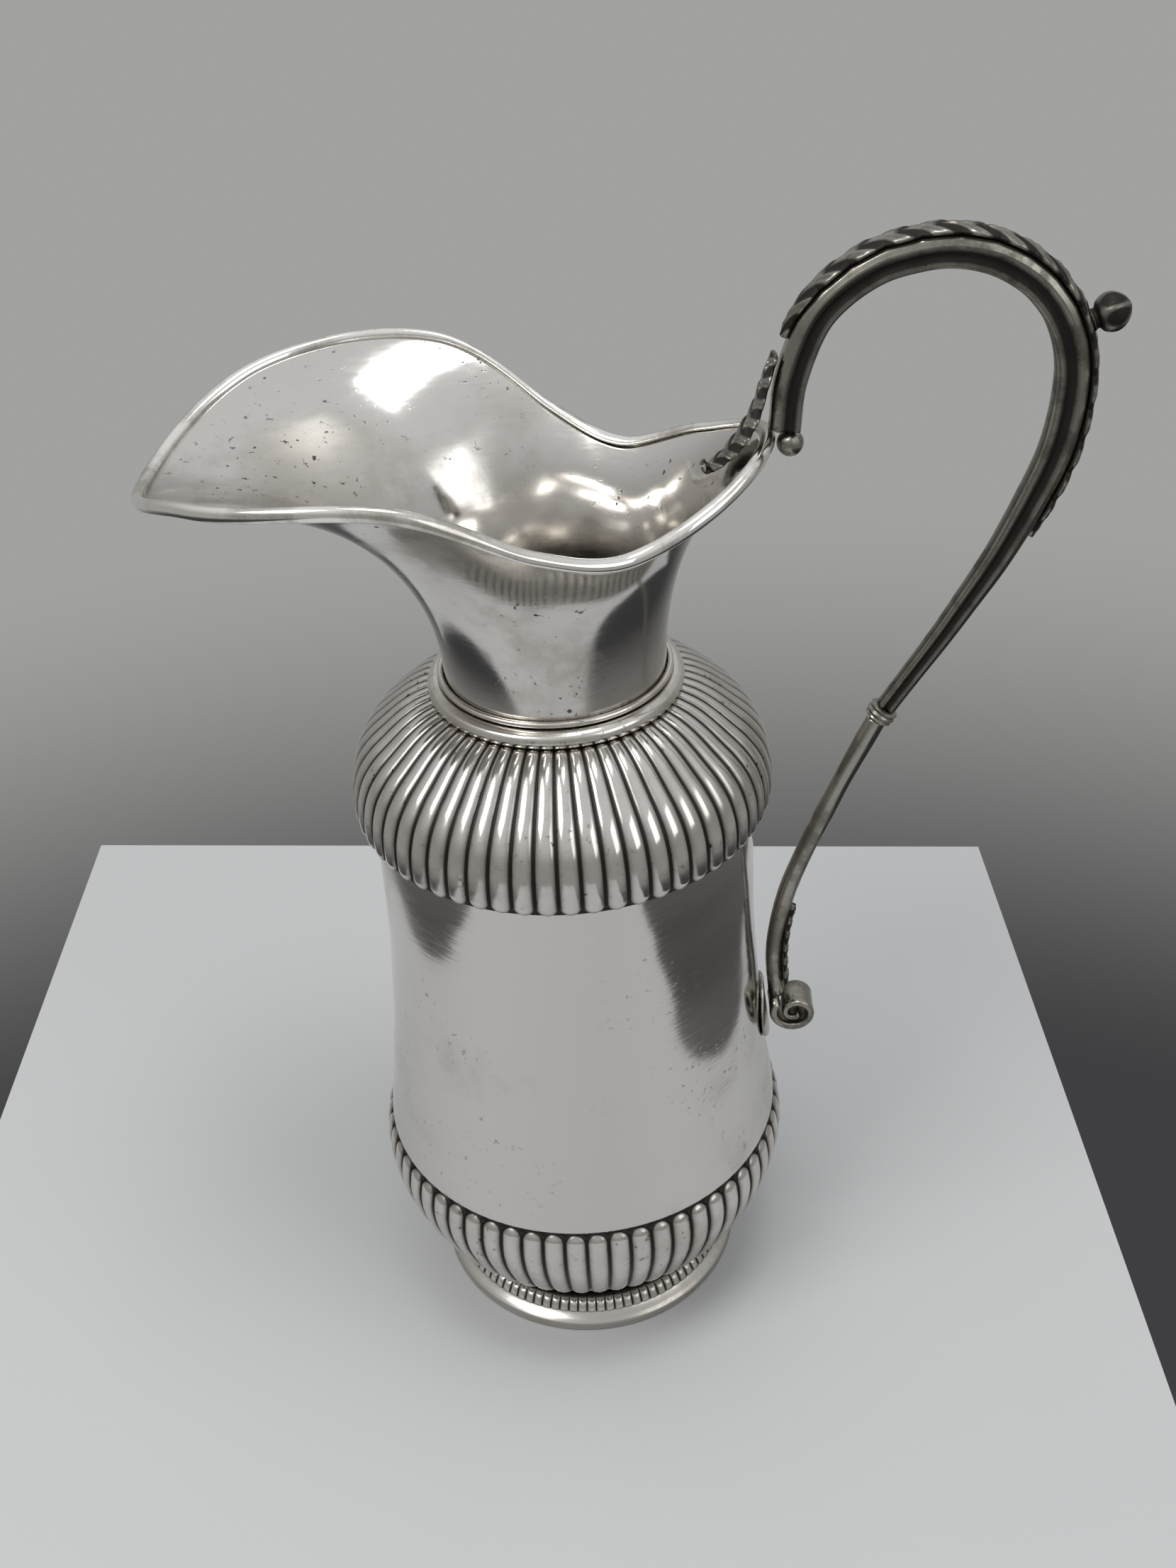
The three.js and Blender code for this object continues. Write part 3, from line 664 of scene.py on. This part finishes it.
# The sleeve: a short ring of turned silver with two beads, where the casting is socketed over the
# lower bar. It is pinned and soldered to both.
SLEEVE_PROFILE = [(2.9, 0), (3.6, 0.35), (3.3, 1.1), (3.7, 1.8), (3.3, 2.5), (3.5, 3.1), (2.7, 3.4)]
sleeve_line = cast_along[-1]
sleeve_start = cast_place[-1] + GAP * sleeve_line
sleeve_radius, sleeve_reach = np.split(smooth(SLEEVE_PROFILE, 40), 2, axis=1)
sleeve_place = sleeve_start + sleeve_reach * sleeve_line
sleeve = round_bar("sleeve_turned", sleeve_place, sleeve_line + 0 * sleeve_place, sleeve_radius)
finish(sleeve, cast_silver, "cast_silver", "joint_sleeve")

# The lower bar: plain round silver wire, drawn and hammered, bowed in towards the wall and dull from
# handling. Its top is in the sleeve and its foot is soldered to the scroll.
BAR_RADIUS = 2.5
SCROLL_RADIUS = 7.2
SCROLL_STRIP = 2.2
SCROLL_Z = 86.0
SCROLL_START = 0.82 * np.pi  # angle at which the strip meets the bar
SEAT = 0.2  # between the wall and the plate soldered to it
SCROLL_SEAT = 0.4  # between that plate and the scroll
TONGUE_THICKNESS = 1.1


def wall_radius(height):
    """Outer radius of the wall at a height, in straight steps between its points."""
    return np.interp(height, [z for radius, z in WALL], [radius for radius, z in WALL])


scroll_x = wall_radius(SCROLL_Z) + SEAT + TONGUE_THICKNESS + SCROLL_SEAT + SCROLL_RADIUS
scroll_middle = np.array([scroll_x, SCROLL_Z])
strip_reach = SCROLL_RADIUS - SCROLL_STRIP / 2
scroll_top = scroll_middle + strip_reach * np.array([np.cos(SCROLL_START), np.sin(SCROLL_START)])
bar_start = sleeve_start + (SLEEVE_PROFILE[-1][1] + GAP) * sleeve_line
BAR_LINE = [
    tuple(bar_start), (70.4, 163), (65.4, 150), (60.9, 138), (57.3, 126.5), (55, 115), (54.2, 104),
    (scroll_top[0] + 0.2, scroll_top[1] + 1.0),
]
bar_place, bar_along = evenly(BAR_LINE, 200)
bar_run = np.linspace(0, 1, len(bar_place))[:, None]
bar_silver = silver(
    "bar silver", bright=(0.36, 0.345, 0.31), worn=(0.15, 0.14, 0.12), gloss=0.2, haze=0.2, cloud=60.0,
    pits=0.5,
)
bar = round_bar(
    "bar_drawn", bar_place, bar_along, BAR_RADIUS * (1 - 0.12 * bar_run + 0.02 * np.sin(23 * bar_run)),
)
finish(bar, bar_silver, "bar_silver", "handle_bar")

# The leaf on the outside of the bar's foot: a small notched acanthus tip, cast in silver and
# soldered on, narrow at its top and broad where the scroll begins.
BAR_LEAF_FROM, BAR_LEAF_TO = 0.66, 0.95  # shares of the bar's length
BAR_LEAF_STEPS = 160
bar_leaf_place, bar_leaf_along = beside_line(
    BAR_LINE, BAR_RADIUS + SEAT, BAR_LEAF_FROM, BAR_LEAF_TO, BAR_LEAF_STEPS,
)
bar_leaf_run = np.linspace(0, 1, BAR_LEAF_STEPS)[:, None]
bar_leaf = acanthus(
    "bar_leaf_cast", bar_leaf_place, bar_leaf_along,
    breadth=0.7 + 3.6 * bar_leaf_run**0.8, thick=LEAF_THICKNESS, fronds=6, relief=0.4,
)
finish(bar_leaf, cast_silver, "cast_silver", "bar_leaf")

# The scroll: a strip of cast silver wound in on itself, a little thicker along its edges. It stands
# on the tongue, and the bar is soldered to its top.
SCROLL_WIDTH = 10.0
SCROLL_TURNS = 1.45
SCROLL_EYE = 1.5  # distance from the middle at which the strip ends
scroll_share = np.linspace(0, 1, 260)[:, None]
scroll_angle = SCROLL_START + scroll_share * SCROLL_TURNS * 2 * np.pi
scroll_reach = strip_reach * (1 - scroll_share) + SCROLL_EYE * scroll_share
scroll_place = scroll_middle + scroll_reach * np.concatenate(
    [np.cos(scroll_angle), np.sin(scroll_angle)], axis=1,
)
thick_edge = 1 + 0.25 * hump(np.abs(wide), 0.85, 0.2)
scroll = carried(
    "scroll_wound", scroll_place, directions(scroll_place),
    across=SCROLL_WIDTH / 2 * (1 - 0.1 * scroll_share) * wide,
    inward=SCROLL_STRIP / 2 * (1 - 0.35 * scroll_share) * flank * thick_edge,
)
finish(scroll, cast_silver, "cast_silver", "scroll")

# The tongue: a small shaped plate of silver, bent to the wall and soldered to it, that carries the
# scroll.
TONGUE_WIDTH = 20.0
TONGUE_HEIGHT = 17.0
TONGUE_STEPS = 120
WALL_BEND = 51.0  # radius to which it is bent
tongue_z = SCROLL_Z + TONGUE_HEIGHT * (np.linspace(0, 1, TONGUE_STEPS) - 0.5)
tongue_place = np.stack([wall_radius(tongue_z) + SEAT + TONGUE_THICKNESS / 2, tongue_z], axis=1)
tongue_outline = np.sqrt(np.sin(np.pi * np.linspace(0.01, 0.99, TONGUE_STEPS)))[:, None]
tongue_across = TONGUE_WIDTH / 2 * tongue_outline * wide
tongue = carried(
    "tongue_shaped", tongue_place, directions(tongue_place), tongue_across,
    inward=TONGUE_THICKNESS / 2 * flank - tongue_across**2 / (2 * WALL_BEND),
)
finish(tongue, bar_silver, "bar_silver", "wall_tongue")

# The room: a plain pale table top, a grey room round it that darkens downwards, and soft lamps. It
# is open on all sides, so that the jug can be seen from any of them.


def flat_colour(name, colour, roughness):
    """A dull surface with a faint cloud in its colour."""
    material = bpy.data.materials.new(name)
    material.use_nodes = True
    tree = material.node_tree
    shader = tree.nodes["Principled BSDF"]
    darker = tuple(0.95 * part for part in colour)
    shade = blended(tree, noise(tree, 6.0, 3.0), colour, darker)
    tree.links.new(shade.output, shader.inputs["Base Color"])
    shader.inputs["Roughness"].default_value = roughness
    return material


TABLE_BACK = 0.1842  # metres from the jug's middle to the table's back edge
BACK_SLANT = -0.04
TABLE_LEFT, TABLE_RIGHT = -0.222, 0.133
SIDE_SHIFT = 0.0272  # how far the sides run to the right on their way to the front
TABLE_FRONT = -0.5
table_mesh = bpy.data.meshes.new("table")
table_mesh.from_pydata([
    (TABLE_LEFT + SIDE_SHIFT, TABLE_FRONT, 0), (TABLE_RIGHT + SIDE_SHIFT, TABLE_FRONT, 0),
    (TABLE_RIGHT, TABLE_BACK + BACK_SLANT * TABLE_RIGHT, 0),
    (TABLE_LEFT, TABLE_BACK + BACK_SLANT * TABLE_LEFT, 0),
], [], [(0, 1, 2, 3)])
table = bpy.data.objects.new("table", table_mesh)
bpy.context.scene.collection.objects.link(table)
table_mesh.materials.append(flat_colour("table top", (0.50, 0.505, 0.51), 0.5))

# The room's grey by the height z of the direction looked in: dark under the table's edge, a mid grey
# wall, and a light ceiling.
ROOM_DARK = (0.05, 0.05, 0.053)
ROOM_WALL = (0.36, 0.36, 0.35)
ROOM_CEILING = (0.74, 0.75, 0.76)
world = bpy.data.worlds.new("room")
bpy.context.scene.world = world
world.use_nodes = True
room = world.node_tree
height = node(room, "SeparateXYZ", {}, {"Vector": node(room, "TexCoord", {}, {}, "Generated")}, "Z")
low_room = blended(room, stepped(room, height, -0.70, -0.42), ROOM_DARK, ROOM_WALL)
whole_room = blended(room, stepped(room, height, 0.0, 0.85), low_room, ROOM_CEILING)
room.links.new(whole_room.output, room.nodes["Background"].inputs["Color"])
room.nodes["Background"].inputs["Strength"].default_value = 1.0


def lamp(name, place, size, power, colour=(1, 1, 1)):
    """A square soft lamp at a place, turned to the middle of the jug."""
    data = bpy.data.lights.new(name, "AREA")
    data.size = size
    data.energy = power
    data.color = colour
    light = bpy.data.objects.new(name, data)
    light.location = place
    light.rotation_euler = (Vector((0, 0, 0.15)) - Vector(place)).to_track_quat("-Z", "Y").to_euler()
    bpy.context.scene.collection.objects.link(light)


lamp("window", (-0.6, -0.5, 1.1), 0.5, 5.5, (1, 0.99, 0.97))
lamp("fill", (1.0, -0.7, 0.8), 0.8, 2.5)
lamp("top", (0.1, -0.1, 1.3), 0.35, 3.5)

# The camera, where the photograph was taken from: its distance in front of the jug's axis and its
# height, in millimetres, its focal length in pixels of the frame's long side, and its three turns.
FOCAL_PIXELS = 2300.0
LONG_SIDE_PIXELS = 2212.0
SENSOR = 36.0
CAMERA_DISTANCE = 335.49
CAMERA_HEIGHT = 399.46
CAMERA_YAW = np.radians(1.07) - CAMERA_TURN
CAMERA_PITCH = np.radians(35.33)
CAMERA_ROLL = np.radians(-3.09)
ahead = Vector((
    np.sin(CAMERA_YAW) * np.cos(CAMERA_PITCH),
    np.cos(CAMERA_YAW) * np.cos(CAMERA_PITCH),
    -np.sin(CAMERA_PITCH),
))
level = Vector((np.cos(CAMERA_YAW), -np.sin(CAMERA_YAW), 0))
above = level.cross(ahead)
right = np.cos(CAMERA_ROLL) * level + np.sin(CAMERA_ROLL) * above
upward = np.cos(CAMERA_ROLL) * above - np.sin(CAMERA_ROLL) * level
camera_data = bpy.data.cameras.new("camera")
camera_data.sensor_width = SENSOR
camera_data.lens = SENSOR * FOCAL_PIXELS / LONG_SIDE_PIXELS
camera_data.clip_start = 0.01
camera = bpy.data.objects.new("camera", camera_data)
stand = Vector((
    AXIS_X + CAMERA_DISTANCE * np.sin(CAMERA_TURN),
    -CAMERA_DISTANCE * np.cos(CAMERA_TURN),
    CAMERA_HEIGHT,
)) * MM
camera.matrix_world = Matrix.Translation(stand) @ Matrix((right, upward, -ahead)).transposed().to_4x4()
bpy.context.scene.collection.objects.link(camera)
bpy.context.scene.camera = camera
bpy.context.scene.view_settings.view_transform = "Standard"
